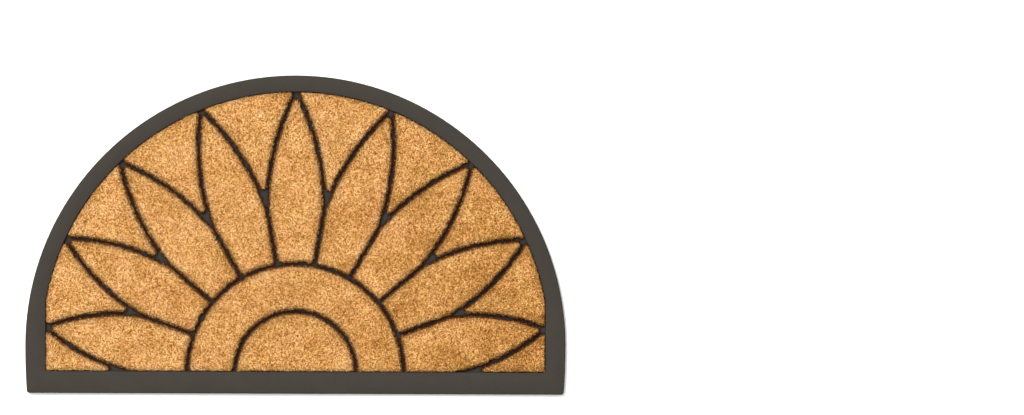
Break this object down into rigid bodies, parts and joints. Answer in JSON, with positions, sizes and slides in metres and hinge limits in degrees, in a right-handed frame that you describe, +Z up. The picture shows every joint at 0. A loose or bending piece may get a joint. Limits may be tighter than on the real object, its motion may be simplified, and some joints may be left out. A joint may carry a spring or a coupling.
{
  "type": "half round doormat",
  "caption": "Half round doormat of cut coir pile pads set in a moulded rubber tray with a flat border and low ribs, for wiping shoes at a door.",
  "frame": {"origin": "on the floor, at the centre of the mat's bounding box", "axes": "+X along the straight edge to the right, +Y from the straight edge towards the round edge, +Z up out of the pile"},
  "size_m": [0.75, 0.442, 0.0105],
  "materials": {
    "rubber": "matt moulded rubber, dark warm grey",
    "coir": "cut coir pile, golden brown, matt and fibrous"
  },
  "bodies": {
    "root": {"rubber_tray": "rubber", "coir_heart": "coir", "coir_ring": "coir", "coir_petal_1": "coir", "coir_petal_2": "coir", "coir_petal_3": "coir", "coir_petal_4": "coir", "coir_petal_5": "coir", "coir_petal_6": "coir", "coir_petal_7": "coir", "coir_petal_8": "coir", "coir_petal_9": "coir", "coir_corner_1": "coir", "coir_corner_2": "coir", "coir_corner_3": "coir", "coir_corner_4": "coir", "coir_corner_5": "coir", "coir_corner_6": "coir", "coir_corner_7": "coir", "coir_corner_8": "coir", "coir_corner_9": "coir", "coir_corner_10": "coir"}
  },
  "joints": []
}
